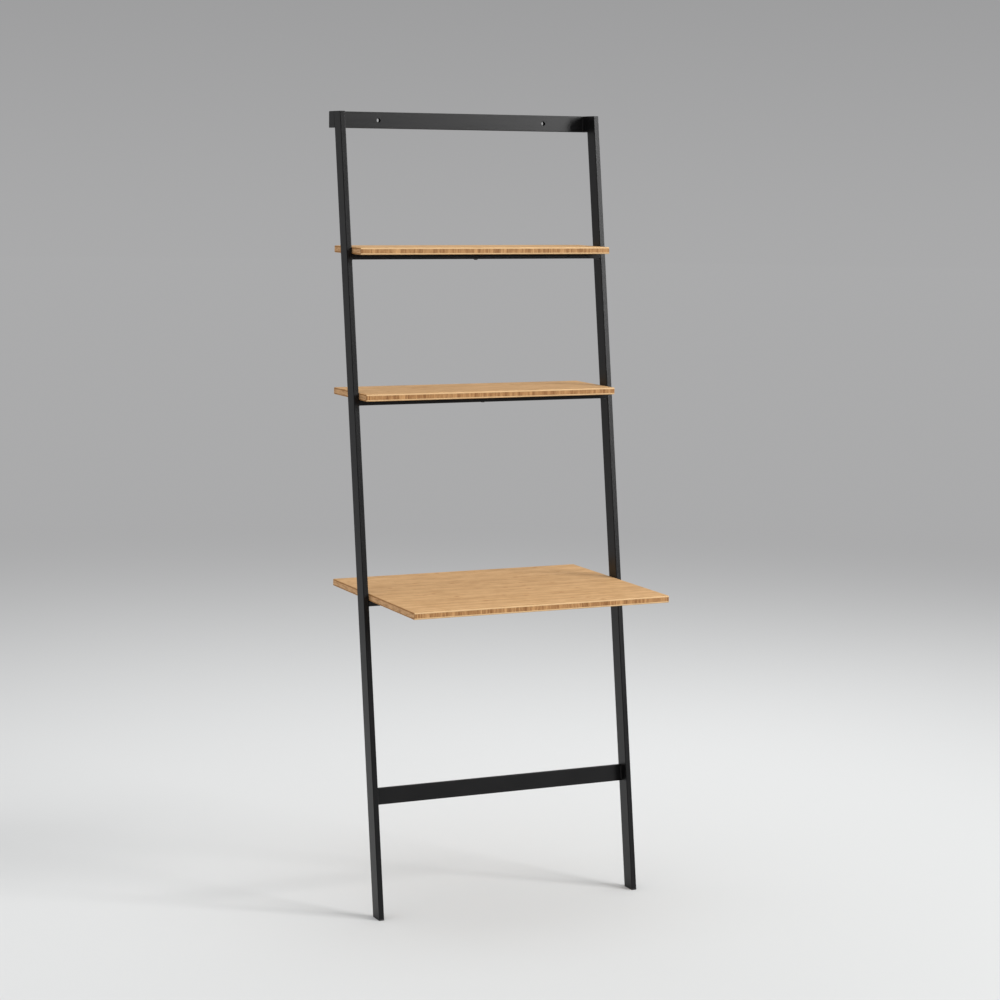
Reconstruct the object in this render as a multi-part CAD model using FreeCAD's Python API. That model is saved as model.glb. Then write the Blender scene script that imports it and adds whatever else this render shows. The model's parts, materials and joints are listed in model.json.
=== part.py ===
import FreeCAD, Part
import math
import os

# A ladder desk: a leaning frame of flat steel tube, fixed to the wall at its head, that carries a
# desktop and two shelves. Millimetres, +Z up. The origin is on the floor, midway between the legs
# and midway between the wall and the front edge of the desktop. The wall is on the +Y side.

# Frame
inner_width = 635.0            # clear width between the legs
overall_height = 1826.0
foot_reach = 338.0             # wall to the front of the legs, at the floor
head_reach = 69.0              # wall to the front of the legs, at their top
tube_depth = 38.1              # wide side of the tube
tube_thickness = 12.7          # narrow side of the tube
tube_wall = 1.5
tube_edge_radius = 1.5
top_plate_thickness = 2.0
crossbar_height = 271.0        # floor to the middle of the lower crossbar

# Wall fixing
wall_hole_spacing = 424.0
wall_hole_diameter = 10.0

# Plastic plugs
foot_pad_thickness = 3.0
arm_pad_thickness = 3.0
plug_insertion = 24.0
plug_clearance = 0.2           # between a plug and the inside of its tube, on each side

# Boards: height is floor to top face
board_thickness = 16.0
board_edge_chamfer = 1.5       # along every edge and up every corner
board_side_clearance = 1.0     # between a board and each leg
board_wall_gap = 2.0           # between a board and the wall
desktop_height = 735.0
desktop_depth = 492.0
middle_shelf_height = 1188.0
middle_shelf_depth = 204.0
top_shelf_height = 1518.0
top_shelf_depth = 164.0

# Support tabs, welded to the back of each rail
tab_width = 40.0
tab_thickness = 4.0
tab_corner_radius = 6.0
tab_inset = 80.0               # leg to the middle of the tab
tab_hole_margin = 12.0         # free end of the tab to its hole
desktop_tab_length = 100.0
middle_shelf_tab_length = 70.0
top_shelf_tab_length = 50.0

# Screws and threaded inserts
screw_diameter = 5.0
screw_head_diameter = 10.0     # at its seat
screw_head_end_diameter = 8.0
screw_head_height = 2.4
screw_socket_width = 3.0       # across the flats
screw_socket_depth = 1.4
screw_hole_clearance = 0.25    # around a screw in the frame
thread_clearance = 0.1         # around a screw in its insert
screw_end_space = 2.0          # left in an insert, above its screw
insert_diameter = 8.0
insert_end_space = 1.0         # left in a board, above an insert
insert_cover = 4.0             # wood above that

# What follows from them
wall_y = (board_wall_gap + desktop_depth) / 2
leg_slope = (foot_reach - head_reach) / overall_height
lean_angle = math.degrees(math.atan(leg_slope))
leg_middle_x = (inner_width + tube_thickness) / 2
tube_inner_depth = tube_depth - 2 * tube_wall
tube_inner_thickness = tube_thickness - 2 * tube_wall
tube_inner_radius = max(tube_edge_radius - tube_wall, 0)
board_width = inner_width - 2 * board_side_clearance
insert_hole_depth = board_thickness - insert_cover
insert_length = insert_hole_depth - insert_end_space
thread_engagement = insert_length - screw_end_space
past_the_end = 2 * tube_depth  # how far a bar is drawn past a cut
cutter_overlap = 1.0           # how far a cutter passes the faces that it cuts
SIDES = {"left": -1, "right": 1}
BOARDS = [
    ("desktop", desktop_height, desktop_depth, desktop_tab_length),
    ("middle_shelf", middle_shelf_height, middle_shelf_depth, middle_shelf_tab_length),
    ("top_shelf", top_shelf_height, top_shelf_depth, top_shelf_tab_length),
]


def leg_front_y(height):
    """Y of the front face of the legs at a height."""
    return wall_y - foot_reach + leg_slope * height


def rounded_rectangle(size_x, size_y, radius):
    """Closed outline in the XY plane, centred on the origin, with arcs at its corners."""
    x = size_x / 2
    y = size_y / 2
    corners = [FreeCAD.Vector(x, y), FreeCAD.Vector(-x, y), FreeCAD.Vector(-x, -y), FreeCAD.Vector(x, -y)]
    if radius == 0:
        return Part.makePolygon(corners + corners[:1])
    edges = []
    for quarter, corner in enumerate(corners):
        start_angle = 90 * quarter
        inward = FreeCAD.Vector(math.copysign(radius, corner.x), math.copysign(radius, corner.y))
        edges.append(Part.makeCircle(radius, corner - inward, FreeCAD.Vector(0, 0, 1),
                                     start_angle, start_angle + 90))
    ends = [(edge.Vertexes[0].Point, edge.Vertexes[1].Point) for edge in edges]
    straights = [Part.makeLine(ends[i][1], ends[(i + 1) % 4][0]) for i in range(4)]
    return Part.Wire([edge for pair in zip(edges, straights) for edge in pair])


def bar(size_x, size_y, length):
    """Filled bar of the tube's outer shape, standing on the XY plane."""
    outline = rounded_rectangle(size_x, size_y, tube_edge_radius)
    return Part.Face(outline).extrude(FreeCAD.Vector(0, 0, length))


def tube(size_x, size_y, length):
    """Rectangular tube with rounded edges, standing on the XY plane."""
    inside = rounded_rectangle(size_x - 2 * tube_wall, size_y - 2 * tube_wall, tube_inner_radius)
    hollow = Part.Face(inside).extrude(FreeCAD.Vector(0, 0, length))
    return bar(size_x, size_y, length).cut(hollow)


def lean(shape, x):
    """Stand an upright shape in the place of a leg: centred on x, its front on the legs' front plane."""
    shape = shape.copy()
    shape.translate(FreeCAD.Vector(x, tube_depth / 2, -past_the_end))
    shape.rotate(FreeCAD.Vector(), FreeCAD.Vector(1, 0, 0), -lean_angle)
    shape.translate(FreeCAD.Vector(0, leg_front_y(0), 0))
    return shape


def between_heights(shape, low, high):
    """The part of a shape between two level cuts."""
    box = shape.BoundBox
    slab = Part.makeBox(box.XLength + 2 * cutter_overlap, box.YLength + 2 * cutter_overlap, high - low,
                        FreeCAD.Vector(box.XMin - cutter_overlap, box.YMin - cutter_overlap, low))
    return shape.common(slab)


def leg_bar_length():
    """Long enough for a leaning bar to pass both level cuts."""
    return overall_height / math.cos(math.radians(lean_angle)) + 2 * past_the_end


def leg(x):
    """Leaning tube, cut level over the foot pad and under the top plate."""
    upright = tube(tube_thickness, tube_depth, leg_bar_length())
    return between_heights(lean(upright, x), foot_pad_thickness, overall_height - top_plate_thickness)


def leg_top_plate(x):
    """Flat plate with the outline of the leg's level cut, welded over its top."""
    upright = bar(tube_thickness, tube_depth, leg_bar_length())
    return between_heights(lean(upright, x), overall_height - top_plate_thickness, overall_height)


def foot_plug(x):
    """Pad under the leg, with a stem that fits up inside the tube."""
    pad = between_heights(lean(bar(tube_thickness, tube_depth, leg_bar_length()), x), 0, foot_pad_thickness)
    stem_outline = rounded_rectangle(tube_inner_thickness - 2 * plug_clearance,
                                     tube_inner_depth - 2 * plug_clearance, tube_inner_radius)
    stem = Part.Face(stem_outline).extrude(FreeCAD.Vector(0, 0, leg_bar_length()))
    return pad.fuse(between_heights(lean(stem, x), foot_pad_thickness, foot_pad_thickness + plug_insertion))


def head_arm(x):
    """Tube from the back face of the leg to the pad at the wall, its top level with the leg's."""
    arm = tube(tube_thickness, tube_depth, head_reach)
    arm.rotate(FreeCAD.Vector(), FreeCAD.Vector(1, 0, 0), 90)
    arm.translate(FreeCAD.Vector(x, wall_y - arm_pad_thickness, overall_height - tube_depth / 2))
    leg_and_ahead = Part.makeBox(2 * tube_thickness, 2 * head_reach, leg_bar_length(),
                                 FreeCAD.Vector(-tube_thickness, tube_depth / 2 - 2 * head_reach, 0))
    return arm.cut(lean(leg_and_ahead, x))


def arm_end_plug(x):
    """Pad between the arm and the wall, with a stem inside the arm."""
    pad = bar(tube_thickness, tube_depth, arm_pad_thickness)
    stem_outline = rounded_rectangle(tube_inner_thickness - 2 * plug_clearance,
                                     tube_inner_depth - 2 * plug_clearance, tube_inner_radius)
    stem = Part.Face(stem_outline).extrude(FreeCAD.Vector(0, 0, arm_pad_thickness + plug_insertion))
    plug = pad.fuse(stem)
    plug.rotate(FreeCAD.Vector(), FreeCAD.Vector(1, 0, 0), 90)
    plug.translate(FreeCAD.Vector(x, wall_y, overall_height - tube_depth / 2))
    return plug


def cross_tube(size_y, size_z):
    """Tube between the legs, along X, centred on the origin."""
    piece = tube(size_z, size_y, inner_width)
    piece.rotate(FreeCAD.Vector(), FreeCAD.Vector(0, 1, 0), 90)
    piece.translate(FreeCAD.Vector(-inner_width / 2, 0, 0))
    return piece


def wall_bar():
    """Tube flat on the wall between the arms, with a hole through it for each wall screw."""
    piece = cross_tube(tube_thickness, tube_depth)
    piece.translate(FreeCAD.Vector(0, wall_y - tube_thickness / 2, overall_height - tube_depth / 2))
    for side in SIDES.values():
        front = FreeCAD.Vector(side * wall_hole_spacing / 2, wall_y - 2 * tube_thickness,
                               overall_height - tube_depth / 2)
        hole = Part.makeCylinder(wall_hole_diameter / 2, 3 * tube_thickness, front, FreeCAD.Vector(0, 1, 0))
        piece = piece.cut(hole)
    return piece


def lower_crossbar():
    """Tube between the legs that leans with them, its back flush with theirs."""
    piece = cross_tube(tube_thickness, tube_depth)
    piece.rotate(FreeCAD.Vector(), FreeCAD.Vector(1, 0, 0), -lean_angle)
    back_to_middle = (tube_depth - tube_thickness / 2) / math.cos(math.radians(lean_angle))
    piece.translate(FreeCAD.Vector(0, leg_front_y(crossbar_height) + back_to_middle, crossbar_height))
    return piece


def rail_top(board_height):
    """Height of the top face of the rail under a board."""
    return board_height - board_thickness


def rail_middle_y(board_height):
    """Y of the middle of the rail under a board, whose front is flush with the legs' front."""
    return leg_front_y(rail_top(board_height) - tube_thickness / 2) + tube_depth / 2


def rail(board_height):
    """Tube laid flat between the legs, with a screw hole up through its middle."""
    piece = cross_tube(tube_depth, tube_thickness)
    low = rail_top(board_height) - tube_thickness
    piece.translate(FreeCAD.Vector(0, rail_middle_y(board_height), low + tube_thickness / 2))
    return piece.cut(screw_hole(0, rail_middle_y(board_height), low, tube_thickness))


def screw_hole(x, y, low, thickness):
    """Cutter for a clearance hole up through a rail or a tab."""
    radius = screw_diameter / 2 + screw_hole_clearance
    return Part.makeCylinder(radius, thickness + 2 * cutter_overlap,
                             FreeCAD.Vector(x, y, low - cutter_overlap))


def tab_root_y(board_height):
    """Y of the back of the rail, where its tabs are welded."""
    return rail_middle_y(board_height) + tube_depth / 2


def tab_hole_y(board_height, tab_length):
    """Y of the screw hole in a tab."""
    return tab_root_y(board_height) + tab_length - tab_hole_margin


def tab_x(side):
    """X of the middle of a tab."""
    return side * (inner_width / 2 - tab_inset)


def tab(board_height, tab_length, x):
    """Flat steel tab behind the rail, level with its top, with rounded free corners."""
    root_y = tab_root_y(board_height)
    low = rail_top(board_height) - tab_thickness
    piece = Part.makeBox(tab_width, tab_length, tab_thickness, FreeCAD.Vector(x - tab_width / 2, root_y, low))
    free_corners = [edge for edge in piece.Edges
                    if edge.BoundBox.ZLength > tab_thickness / 2
                    and edge.BoundBox.YMin > root_y + tab_length / 2]
    piece = piece.makeFillet(tab_corner_radius, free_corners)
    return piece.cut(screw_hole(x, tab_hole_y(board_height, tab_length), low, tab_thickness))


def screw(x, y, seat, clamped):
    """Screw pointing up: its head is under the seat, and its shank passes what it clamps."""
    length = clamped + thread_engagement
    profile = [(0, -screw_head_height),
               (screw_head_end_diameter, -screw_head_height),
               (screw_head_diameter, 0),
               (screw_diameter, 0),
               (screw_diameter, length),
               (0, length)]
    points = [FreeCAD.Vector(diameter / 2, 0, height) for diameter, height in profile + profile[:1]]
    piece = Part.Face(Part.makePolygon(points)).revolve(FreeCAD.Vector(), FreeCAD.Vector(0, 0, 1), 360)
    piece = piece.cut(hexagonal_socket())
    piece.translate(FreeCAD.Vector(x, y, seat))
    return piece


def hexagonal_socket():
    """Cutter for the key's socket, up into a head whose seat is at height zero."""
    corner_radius = screw_socket_width / math.sqrt(3)
    corners = [FreeCAD.Vector(corner_radius * math.cos(math.radians(angle)),
                              corner_radius * math.sin(math.radians(angle)), -screw_head_height)
               for angle in range(0, 361, 60)]
    return Part.Face(Part.makePolygon(corners)).extrude(FreeCAD.Vector(0, 0, screw_socket_depth))


def insert(x, y, board_height):
    """Sleeve let into the underside of a board, open at both ends."""
    low = FreeCAD.Vector(x, y, rail_top(board_height))
    sleeve = Part.makeCylinder(insert_diameter / 2, insert_length, low)
    return sleeve.cut(Part.makeCylinder(screw_diameter / 2 + thread_clearance, insert_length, low))


def board(board_height, depth, points):
    """Board between the legs, all its edges eased, drilled from below for its inserts."""
    low = rail_top(board_height)
    front_y = wall_y - board_wall_gap - depth
    piece = Part.makeBox(board_width, depth, board_thickness, FreeCAD.Vector(-board_width / 2, front_y, low))
    piece = piece.makeChamfer(board_edge_chamfer, piece.Edges)
    for x, y in points:
        hole = Part.makeCylinder(insert_diameter / 2, insert_hole_depth, FreeCAD.Vector(x, y, low))
        piece = piece.cut(hole)
    return piece


def leg_set(side, x):
    """A leg with its arm, top plate and plugs, as node name to shape."""
    return {
        side + "_leg": leg(x),
        side + "_leg_top_plate": leg_top_plate(x),
        side + "_foot_plug": foot_plug(x),
        side + "_head_arm": head_arm(x),
        side + "_arm_end_plug": arm_end_plug(x),
    }


def board_set(name, board_height, depth, tab_length):
    """A board with its rail and tabs, as node name to shape."""
    pieces = {
        name: board(board_height, depth, [rail_point(board_height)] + tab_points(board_height, tab_length)),
        name + "_rail": rail(board_height),
    }
    for side, sign in SIDES.items():
        pieces[side + "_" + name + "_tab"] = tab(board_height, tab_length, tab_x(sign))
    return pieces


def rail_point(board_height):
    """Place in plan where the rail holds its board."""
    return 0, rail_middle_y(board_height)


def tab_points(board_height, tab_length):
    """Places in plan where the tabs hold their board."""
    return [(tab_x(sign), tab_hole_y(board_height, tab_length)) for sign in SIDES.values()]


def fasteners():
    """The screws and inserts of all the boards, alike ones together, as node name to shape."""
    rail_screws = []
    tab_screws = []
    inserts = []
    for _, board_height, _, tab_length in BOARDS:
        on_rail = rail_point(board_height)
        on_tabs = tab_points(board_height, tab_length)
        top = rail_top(board_height)
        rail_screws.append(screw(*on_rail, top - tube_thickness, tube_thickness))
        tab_screws += [screw(*point, top - tab_thickness, tab_thickness) for point in on_tabs]
        inserts += [insert(*point, board_height) for point in [on_rail] + on_tabs]
    return {
        "rail_screws": Part.makeCompound(rail_screws),
        "tab_screws": Part.makeCompound(tab_screws),
        "threaded_inserts": Part.makeCompound(inserts),
    }


def ladder_desk():
    """Every piece of the desk, as node name to shape."""
    pieces = {"wall_bar": wall_bar(), "lower_crossbar": lower_crossbar()}
    for side, sign in SIDES.items():
        pieces.update(leg_set(side, sign * leg_middle_x))
    for row in BOARDS:
        pieces.update(board_set(*row))
    pieces.update(fasteners())
    return pieces


os.makedirs("parts", exist_ok=True)
for node, shape in ladder_desk().items():
    shape.exportStep("parts/" + node + ".step")
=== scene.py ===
import json
import math

import bmesh
import bpy
import numpy as np
from mathutils import Matrix, Vector


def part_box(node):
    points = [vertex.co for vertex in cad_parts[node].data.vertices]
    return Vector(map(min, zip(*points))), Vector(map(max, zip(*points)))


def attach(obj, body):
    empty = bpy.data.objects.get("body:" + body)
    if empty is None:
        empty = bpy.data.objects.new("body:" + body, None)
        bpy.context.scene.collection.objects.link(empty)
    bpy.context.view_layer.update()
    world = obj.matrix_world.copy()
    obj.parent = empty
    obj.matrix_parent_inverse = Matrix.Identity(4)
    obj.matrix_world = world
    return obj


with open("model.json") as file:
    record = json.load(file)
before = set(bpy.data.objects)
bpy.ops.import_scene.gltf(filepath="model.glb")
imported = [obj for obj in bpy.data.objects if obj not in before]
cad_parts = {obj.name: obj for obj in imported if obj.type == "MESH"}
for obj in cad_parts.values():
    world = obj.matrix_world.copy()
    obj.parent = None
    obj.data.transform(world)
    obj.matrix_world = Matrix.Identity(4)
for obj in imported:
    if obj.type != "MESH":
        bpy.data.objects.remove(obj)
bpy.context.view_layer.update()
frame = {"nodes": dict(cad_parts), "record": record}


# ---------------------------------------------------------------------------------------------
# Frame: rectangular steel tube, cut, welded and then powder coated all over in satin black.
# The coat is a thin plastic skin with a fine orange peel, a little smoother here and there.
# ---------------------------------------------------------------------------------------------

class Wire:
    """An output of a shader node. Arithmetic on a wire adds Math nodes to the same material."""

    def __init__(self, tree, socket):
        self.tree = tree
        self.socket = socket

    def node(self, kind, settings, sockets, output=0):
        """Add a node of a kind: its settings first, then values or wires for its sockets."""
        made = self.tree.nodes.new(kind)
        for name, value in settings.items():
            setattr(made, name, value)
        for name, value in sockets.items():
            if isinstance(value, Wire):
                self.tree.links.new(value.socket, made.inputs[name])
            else:
                made.inputs[name].default_value = value
        return Wire(self.tree, made.outputs[output])

    def math(self, operation, first, second=0.0):
        """A Math node on numbers or wires."""
        return self.node("ShaderNodeMath", {"operation": operation}, {0: first, 1: second})

    def __add__(self, other):
        return self.math("ADD", self, other)

    def __radd__(self, other):
        return self.math("ADD", other, self)

    def __sub__(self, other):
        return self.math("SUBTRACT", self, other)

    def __rsub__(self, other):
        return self.math("SUBTRACT", other, self)

    def __mul__(self, other):
        return self.math("MULTIPLY", self, other)

    def __rmul__(self, other):
        return self.math("MULTIPLY", other, self)

    def __truediv__(self, other):
        return self.math("DIVIDE", self, other)

    def __abs__(self):
        return self.math("ABSOLUTE", self)

    def whole(self):
        """The whole number at or below this one."""
        return self.math("FLOOR", self)

    def along(self, axis):
        """One coordinate of a vector."""
        return self.node("ShaderNodeSeparateXYZ", {}, {0: self}, axis)

    def rise(self, low, high):
        """0 below low, 1 above high, and a smooth step between them."""
        return self.node("ShaderNodeMapRange", {"interpolation_type": "SMOOTHSTEP"},
                         {"Value": self, "From Min": low, "From Max": high})

    def chance(self, seed):
        """A number from 0 to 1 picked afresh for each value of this one."""
        return self.node("ShaderNodeTexWhiteNoise", {"noise_dimensions": "2D"},
                         {"Vector": self.node("ShaderNodeCombineXYZ", {}, {"X": self, "Y": seed})})

    def noise(self, per_metre, detail, roughness=0.5):
        """Noise from 0 to 1 on a position, with a count of waves per metre along X, Y and Z."""
        squeezed = self.node("ShaderNodeVectorMath", {"operation": "MULTIPLY"},
                             {0: self, 1: per_metre})
        return self.node("ShaderNodeTexNoise", {},
                         {"Vector": squeezed, "Scale": 1.0, "Detail": detail,
                          "Roughness": roughness})

    def between(self, first, second):
        """The first colour where this is 0, the second where it is 1."""
        return self.node("ShaderNodeMix", {"data_type": "RGBA", "clamp_factor": True},
                         {0: self, 6: first, 7: second}, 2)


def surface(name):
    """Start a material, and give the wire of the position on the object."""
    material = bpy.data.materials.new(name)
    material.use_nodes = True
    tree = material.node_tree
    return Wire(tree, tree.nodes.new("ShaderNodeTexCoord").outputs["Object"])


def finish_surface(place, colour, roughness, height, depth, **even):
    """Lead colour, roughness and surface height to the shader, and set what is even all over.

    Depth is the scale of the height, in metres.
    """
    shader = place.tree.nodes["Principled BSDF"]
    bump = place.node("ShaderNodeBump", {}, {"Height": height, "Distance": depth, "Strength": 1.0})
    for socket, wire in (("Base Color", colour), ("Roughness", roughness), ("Normal", bump)):
        place.tree.links.new(wire.socket, shader.inputs[socket])
    for socket, value in even.items():
        shader.inputs[socket.replace("_", " ")].default_value = value


def dress(name, *pieces):
    """Give pieces a material in place of their own."""
    for piece in pieces:
        piece.data.materials.clear()
        piece.data.materials.append(bpy.data.materials[name])


place = surface("powder_coat")
peel = place.noise((900, 900, 900), 2)
patches = place.noise((16, 16, 16), 3)
finish_surface(place,
               colour=patches.between((0.0030, 0.0030, 0.0033, 1), (0.0052, 0.0050, 0.0056, 1)),
               roughness=0.27 + 0.08 * patches + 0.06 * peel,
               height=peel,
               depth=0.00006,
               Specular_IOR_Level=0.26)

slots = {row["node"]: row["material_slot"] for row in frame["record"]["subparts"]}
dress("powder_coat", *[frame["nodes"][node] for node, slot in slots.items() if slot == "frame"])


# ---------------------------------------------------------------------------------------------
# Wall bar: the same coat with fine level streaks along the bar and a little more shine. Its colour
# is painted lighter than the rest of the frame's, as painted light.
# ---------------------------------------------------------------------------------------------

place = surface("coat_painted_lighter")
level_streaks = place.noise((5, 420, 420), 3, 0.6)
finish_surface(place,
               # painted light: a lighter copy of the frame coat's colour, with fine level streaks
               colour=level_streaks.between((0.0040, 0.0040, 0.0043, 1), (0.0072, 0.0070, 0.0076, 1)),
               roughness=0.25 + 0.20 * level_streaks,
               height=level_streaks,
               depth=0.00003,
               Specular_IOR_Level=0.46)
dress("coat_painted_lighter", frame["nodes"]["wall_bar"])


# ---------------------------------------------------------------------------------------------
# Welds: a small fillet run by torch into each inside corner where two tubes or a tab meet. The
# outside joints are ground flush. The runs are coated with the frame.
# ---------------------------------------------------------------------------------------------

weld_leg = 0.0024           # from the corner line to the edge of the bead
ripple_pitch = 0.0016
ripple_steps = 4
ripple_swell = 0.10
hollow = 0.18               # how far the bead's middle is drawn in towards the corner line
run_out = 0.0015            # length over which a run shrinks to its end
points_across = 7
same_point = 0.000002


def weld_run(start, end, first_wall, second_wall):
    """Bead in the corner between two walls, given by the directions that lead away along them.

    Across the run the bead is a quarter turn from one wall to the other, at the weld's leg from the
    corner line and drawn in towards it in the middle. Along the run its leg swells and sinks as a
    rectified sine, once for each ripple, and it shrinks to nothing at both ends. It is walked in
    the direction that turns its faces out of the corner.
    """
    start, end, first_wall, second_wall = map(np.array, (start, end, first_wall, second_wall))
    if np.dot(end - start, np.cross(second_wall, first_wall)) < 0:
        start, end = end, start
    length = np.linalg.norm(end - start)
    ripples = round(length / ripple_pitch)
    steps = ripples * ripple_steps + 1
    along = np.linspace(0, 1, steps)[:, None]
    across = np.linspace(0, np.pi / 2, points_across)[None, :]
    ripple = 1 + ripple_swell * np.abs(np.sin(np.pi * ripples * along))
    taper = np.minimum(1, np.sqrt(np.minimum(along, 1 - along) * length / run_out))
    reach = weld_leg * ripple * taper * (1 - hollow * np.sin(2 * across))
    points = ((start + (end - start) * along[..., None])
              + (reach * np.cos(across))[..., None] * first_wall
              + (reach * np.sin(across))[..., None] * second_wall)
    return points.reshape(-1, 3), steps, across.size


def mesh_of_grids(name, grids):
    """One mesh of many grids of points, each a strip of four-sided faces, closed at its ends."""
    points = []
    faces = []
    count = 0
    for grid, rows, columns in grids:
        corner = (np.arange(rows - 1)[:, None] * columns + np.arange(columns - 1)).ravel() + count
        faces.append(np.stack([corner, corner + columns, corner + columns + 1, corner + 1], axis=1))
        points.append(grid)
        count += len(grid)
    mesh = bpy.data.meshes.new(name)
    mesh.from_pydata(np.concatenate(points).tolist(), [], np.concatenate(faces).tolist())
    closed = bmesh.new()
    closed.from_mesh(mesh)
    bmesh.ops.remove_doubles(closed, verts=closed.verts, dist=same_point)
    closed.to_mesh(mesh)
    closed.free()
    mesh.shade_smooth()
    piece = bpy.data.objects.new(name, mesh)
    bpy.context.scene.collection.objects.link(piece)
    return piece


end_gap = 0.002             # bare length at the ends of most runs
below_gap = 0.0018          # a run behind a rail starts clear of the run below the rail,
board_gap = 0.0045          # and ends clear of the board
tab_gap = 0.001
leg_depth = 0.0385          # of a leaning leg, measured level
crossbar_start = (0.0012, 0.004)
crossbar_climb = 0.034

welds = []
for side in (-1, 1):
    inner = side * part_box("wall_bar")[1].x
    for rail in ("desktop_rail", "middle_shelf_rail", "top_shelf_rail"):
        low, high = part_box(rail)
        welds.append(((inner, low.y + end_gap, low.z), (inner, high.y - end_gap, low.z),
                      (-side, 0, 0), (0, 0, -1)))
        welds.append(((inner, high.y, low.z + below_gap), (inner, high.y, high.z - board_gap),
                      (-side, 0, 0), (0, 1, 0)))
    low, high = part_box("wall_bar")
    welds.append(((inner, low.y, low.z + end_gap), (inner, low.y, high.z - end_gap),
                  (-side, 0, 0), (0, -1, 0)))
    low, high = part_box("left_head_arm")
    middle = side * (abs(low.x) + abs(high.x)) / 2
    half = (high.x - low.x) / 2 - end_gap
    leg_low, leg_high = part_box("left_leg")
    lean = (leg_high.y - leg_low.y - leg_depth) / (leg_high.z - leg_low.z)
    welds.append(((middle - half, low.y, low.z), (middle + half, low.y, low.z),
                  (0, 1, 0), (0, -lean, -1)))
    low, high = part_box("lower_crossbar")
    front = low.y + crossbar_start[0]
    welds.append(((inner, front, low.z + crossbar_start[1]),
                  (inner, front + lean * crossbar_climb, high.z - end_gap),
                  (-side, 0, 0), (0, -1, lean)))
for tab in [node for node in slots if node.endswith("_tab")]:
    low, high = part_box(tab)
    welds.append(((low.x + tab_gap, low.y, low.z), (high.x - tab_gap, low.y, low.z),
                  (0, 1, 0), (0, 0, -1)))
weld_beads = mesh_of_grids("weld_beads", [weld_run(*weld) for weld in welds])
dress("powder_coat", weld_beads)
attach(weld_beads, "root")


# ---------------------------------------------------------------------------------------------
# Boards: three-ply bamboo, glued up from narrow strips. The two thin face plies run from side to
# side and the core runs from front to back. Eased edges, clear satin lacquer. Screwed from below.
# ---------------------------------------------------------------------------------------------

face_ply = 0.0032
strip_width = 0.0105
core_strip_width = 0.0032
glue_line = 0.00015
node_spacing = 0.26
# painted highlight for the face plies at the front and back edges
painted_edge_highlight = (0.700, 0.500, 0.282, 1)
pale = (0.652, 0.403, 0.194, 1)
tan = (0.446, 0.250, 0.102, 1)
brown = (0.330, 0.145, 0.042, 1)
ring_brown = (0.400, 0.190, 0.065, 1)
ring_band = (0.010, 0.034)  # inner and outer reach of a ring's shade, in spacings
ring_line = (0.002, 0.008)  # and of the fine line in its middle
side_ease = (0.0012, 0.0004)
front_ease = (0.0016, 0.0002)


def bamboo(name):
    """Lacquered three-ply bamboo, cut through as one solid: every face shows what lies there."""
    low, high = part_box(name)
    middle = (low + high) / 2
    half = (high - low) / 2
    place = surface(name + "_bamboo")
    across = place.along("Y")
    level = place.along("Z") - middle.z
    core = 1 - abs(level).rise(half.z - face_ply - glue_line, half.z - face_ply + glue_line)

    strip = ((across - low.y) / strip_width).whole()
    along_strip = place.node("ShaderNodeCombineXYZ", {},
                             {"X": place.along("X"), "Y": strip, "Z": low.z})
    strip_tone = along_strip.noise((22, 3.7, 50), 3, 0.6)
    streaks = place.noise((10, 230, 230), 3, 0.6)
    face_fibre = place.noise((30, 2400, 2400), 2)
    shade = strip.chance(low.z) * 0.40 + 1.5 * strip_tone + 1.2 * streaks - 1.15
    ring_place = place.along("X") / node_spacing + strip.chance(high.z) + 0.02 * streaks
    from_ring = abs(ring_place - ring_place.whole() - 0.5)
    ring = 1.4 - from_ring.rise(*ring_band) - 0.4 * from_ring.rise(*ring_line)
    ring = ring * (strip + 7 * ring_place.whole()).chance(low.z).rise(0.6, 1.0)
    joint = abs((across - low.y) / strip_width - strip - 0.5).rise(0.488, 0.5)
    face_shade = shade + 0.12 * joint + 0.16 * (face_fibre - 0.5)

    core_strip = ((place.along("X") - low.x) / core_strip_width).whole()
    core_grain = place.noise((420, 5, 90), 4, 0.6)
    groups = place.noise((55, 0, 0), 3)
    core_shade = (core_strip.chance(low.z + 1) * 0.46 + 1.7 * groups
                  + 1.2 * (core_grain - 0.5) - 0.42)

    side_grain = place.noise((420, 40, 300), 3, 0.6)
    side_end = abs(place.along("X")).rise(half.x - side_ease[0], half.x - side_ease[1])
    front_end = abs(across - middle.y).rise(half.y - front_ease[0], half.y - front_ease[1])
    face_colour = (0.5 * ring).between(face_shade.between(pale, tan), ring_brown)
    # painted highlight: the face plies are painted paler on the front and back faces and on the
    # arris beside them
    face_colour = (0.6 * front_end).between(face_colour, painted_edge_highlight)
    face_colour = (side_end * (0.60 + 0.5 * side_grain)).between(face_colour, brown)
    core_colour = core_shade.between((0.585, 0.332, 0.144, 1), (0.234, 0.105, 0.036, 1))
    core_side = (3.2 * side_grain - 1.35).between((0.660, 0.388, 0.188, 1),
                                                  (0.350, 0.175, 0.070, 1))
    core_colour = front_end.between(core_side, core_colour)
    finish_surface(place,
                   colour=core.between(face_colour, core_colour),
                   roughness=0.52 + 0.14 * streaks,
                   height=face_fibre * 0.35 - joint * 0.5 + ring * 0.25,
                   depth=0.00008,
                   Specular_IOR_Level=0.14)
    dress(name + "_bamboo", frame["nodes"][name])


for board in ("desktop", "middle_shelf", "top_shelf"):
    bamboo(board)


# ---------------------------------------------------------------------------------------------
# Plugs: black moulded plastic, with the fine sparked grain of the mould. Pushed into the ends of
# the legs and the arms, they keep cut steel off the floor and the wall.
# ---------------------------------------------------------------------------------------------

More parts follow.
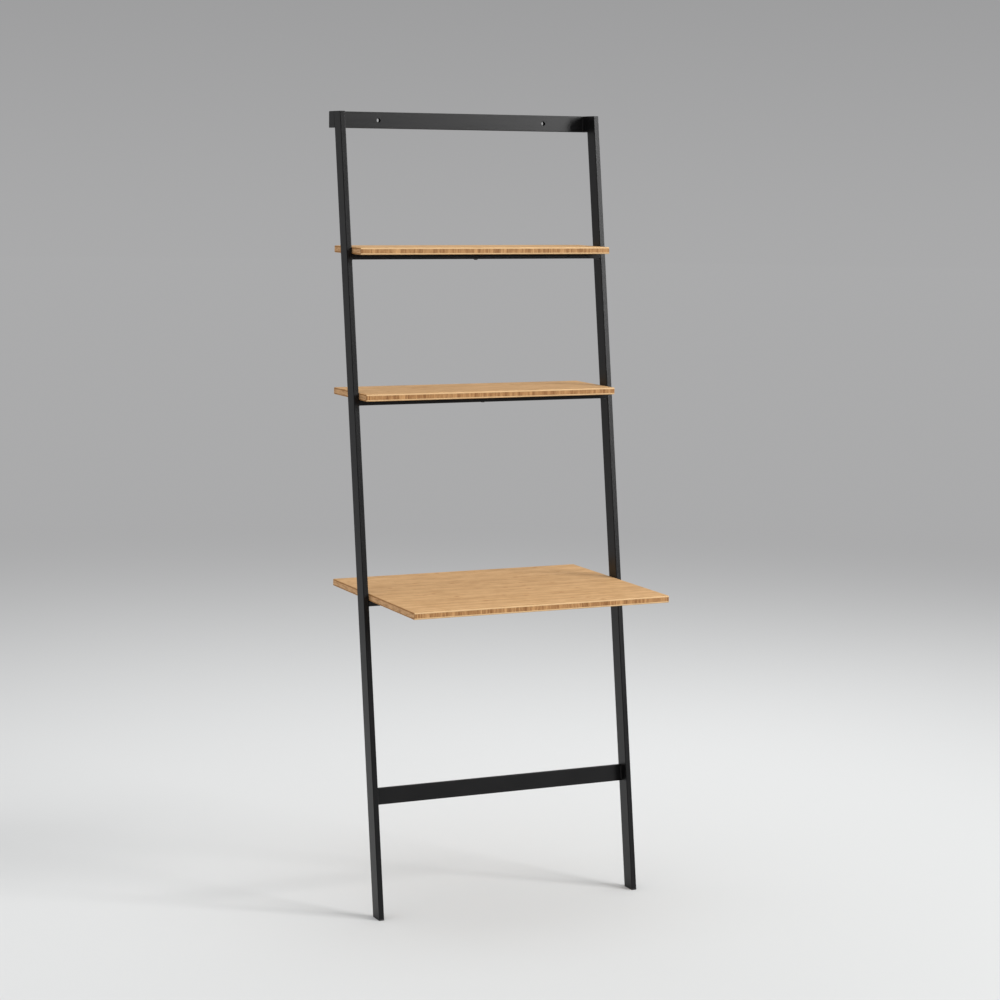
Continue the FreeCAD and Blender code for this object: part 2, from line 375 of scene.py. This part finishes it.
place = surface("moulded_plastic")
grain = place.noise((1500, 1500, 1500), 3)
wear = place.noise((60, 60, 60), 2)
finish_surface(place,
               colour=wear.between((0.012, 0.012, 0.012, 1), (0.018, 0.018, 0.018, 1)),
               roughness=0.55 + 0.15 * grain,
               height=grain,
               depth=0.00005)
dress("moulded_plastic", *[frame["nodes"][node] for node, slot in slots.items() if slot == "plug"])


# ---------------------------------------------------------------------------------------------
# Screws: steel, blackened zinc, with a hexagonal socket. They come up through the rails and tabs.
# The marks of forming run round the heads.
# ---------------------------------------------------------------------------------------------

place = surface("black_zinc")
marks = place.noise((300, 300, 4000), 2)
cloud = place.noise((220, 220, 220), 2)
finish_surface(place,
               colour=cloud.between((0.018, 0.018, 0.020, 1), (0.034, 0.033, 0.032, 1)),
               roughness=0.30 + 0.16 * cloud,
               height=marks,
               depth=0.00003,
               Metallic=0.4)
dress("black_zinc", *[frame["nodes"][node] for node, slot in slots.items() if slot == "screw"])


# ---------------------------------------------------------------------------------------------
# Inserts: zinc-plated steel sleeves, pressed into blind holes in the undersides of the boards.
# The coarse rings that hold them in the wood go round them.
# ---------------------------------------------------------------------------------------------

ring_pitch = 0.0011

place = surface("zinc_plate")
height = place.along("Z") / ring_pitch
rings = abs(height - height.whole() - 0.5) * 2
bloom = place.noise((180, 180, 180), 3)
finish_surface(place,
               colour=bloom.between((0.50, 0.50, 0.47, 1), (0.62, 0.62, 0.60, 1)),
               roughness=0.26 + 0.2 * bloom,
               height=rings,
               depth=0.00020,
               Metallic=1.0)
dress("zinc_plate", *[frame["nodes"][node] for node, slot in slots.items() if slot == "insert"])


# ---------------------------------------------------------------------------------------------
# Studio: a pale floor that fades far out into a grey surround, lit softly from all round, with a
# wide lamp overhead, a tall one in front to the right and a small one farther round to the right.
# ---------------------------------------------------------------------------------------------

surround = (0.405, 0.405, 0.409, 1)
surround_away = (0.300, 0.300, 0.304, 1)
surround_front = (0.140, 0.140, 0.142, 1)
surround_above = (0.120, 0.120, 0.122, 1)
soft_light = (0.820, 0.820, 0.830, 1)


def surround_towards(direction):
    """Surround in a level direction: palest behind the desk and right, darkest in front of it."""
    behind = (direction.along("X") + direction.along("Y")).rise(0.3, 1.1)
    behind = behind.between(surround_away, surround)
    return direction.along("Y").rise(-0.8, -0.2).between(surround_front, behind)


floor_edge = 40.0
paper_reach = (1.3, 6.2)    # where the paper starts to fade, and where only the surround is left
# paper colours: plain towards the back left, with painted shade towards the front right
paper_painted_shade = (0.578, 0.586, 0.582, 1)
paper_unshaded = (0.672, 0.680, 0.676, 1)

turn = np.linspace(0, 2 * np.pi, 128, endpoint=False)
rim = floor_edge * np.stack([np.cos(turn), np.sin(turn), 0 * turn], axis=1)
floor_mesh = bpy.data.meshes.new("floor")
floor_mesh.from_pydata(rim.tolist(), [], [list(range(turn.size))])
floor = bpy.data.objects.new("floor", floor_mesh)
bpy.context.scene.collection.objects.link(floor)

place = surface("floor_paper")
distance = place.node("ShaderNodeVectorMath", {"operation": "LENGTH"}, {0: place}, "Value")
fade = distance.rise(*paper_reach)
tree = place.tree
paper = tree.nodes["Principled BSDF"]
# painted shade: the paper is painted darker towards the front and the right
paper_shading = (place.along("Y") - 0.55 * place.along("X")).rise(-1.6, 0.9)
paper_shading = paper_shading.between(paper_painted_shade, paper_unshaded)
tree.links.new(paper_shading.socket, paper.inputs["Base Color"])
paper.inputs["Roughness"].default_value = 0.85
paper.inputs["Specular IOR Level"].default_value = 0.2
far = tree.nodes.new("ShaderNodeEmission")
outward = place.node("ShaderNodeVectorMath", {"operation": "NORMALIZE"}, {0: place})
tree.links.new(surround_towards(outward).socket, far.inputs["Color"])
join = tree.nodes.new("ShaderNodeMixShader")
tree.links.new(fade.socket, join.inputs[0])
tree.links.new(paper.outputs[0], join.inputs[1])
tree.links.new(far.outputs[0], join.inputs[2])
tree.links.new(join.outputs[0], tree.nodes["Material Output"].inputs["Surface"])
floor_mesh.materials.append(bpy.data.materials["floor_paper"])

world = bpy.data.worlds.new("studio")
world.use_nodes = True
bpy.context.scene.world = world
tree = world.node_tree
view = Wire(tree, tree.nodes.new("ShaderNodeTexCoord").outputs["Generated"])
rays = tree.nodes.new("ShaderNodeLightPath")
seen = (Wire(tree, rays.outputs["Is Camera Ray"]) + Wire(tree, rays.outputs["Is Glossy Ray"])
        + Wire(tree, rays.outputs["Is Transmission Ray"]))
up = view.along("Z")
backdrop = up.rise(-0.06, 0.16).between(surround_towards(view), surround_away)
backdrop = up.rise(0.08, 0.5).between(backdrop, surround_above)
light = seen.between(soft_light, backdrop)
tree.links.new(light.socket, tree.nodes["Background"].inputs["Color"])


def lamp(name, place, target, width, height, power):
    """Soft rectangular lamp that faces a target. Power is in watts."""
    data = bpy.data.lights.new(name, "AREA")
    data.shape = "RECTANGLE"
    data.size = width
    data.size_y = height
    data.energy = power
    holder = bpy.data.objects.new(name, data)
    holder.location = place
    holder.rotation_euler = (Vector(target) - Vector(place)).to_track_quat("-Z", "Y").to_euler()
    holder.visible_camera = False
    bpy.context.scene.collection.objects.link(holder)


lamp("overhead_lamp", (0.5, 0.5, 5.0), (0.1, 0, 0.8), 4.2, 4.2, 47)
lamp("tall_lamp", (3.985, -4.749, 3.3), (0, 0, 1.3), 1.8, 2.8, 211)
lamp("side_lamp", (5.016, -3.644, 3.9), (0, 0, 1.0), 0.9, 1.2, 135)


# ---------------------------------------------------------------------------------------------
# Camera: at head height, in front and to the left of the desk.
# ---------------------------------------------------------------------------------------------

camera_place = (-2.4414, -5.2643, 1.7067)
heading = math.radians(24.887)
pitch = math.radians(-7.0855)
roll = math.radians(0.7088)
ahead = Vector((math.sin(heading) * math.cos(pitch),
                math.cos(heading) * math.cos(pitch),
                math.sin(pitch)))
level = Vector((math.cos(heading), -math.sin(heading), 0))
upward = level.cross(ahead)
image_right = math.cos(roll) * level + math.sin(roll) * upward
image_up = math.cos(roll) * upward - math.sin(roll) * level
camera = bpy.data.objects.new("camera", bpy.data.cameras.new("camera"))
camera.matrix_world = (Matrix.Translation(camera_place)
                       @ Matrix((image_right, image_up, -ahead)).transposed().to_4x4())
camera.data.sensor_width = 36
camera.data.lens = 91.112
camera.data.shift_y = -0.02
camera.data.clip_end = 100
bpy.context.scene.collection.objects.link(camera)
bpy.context.scene.camera = camera
bpy.context.scene.view_settings.view_transform = "Standard"
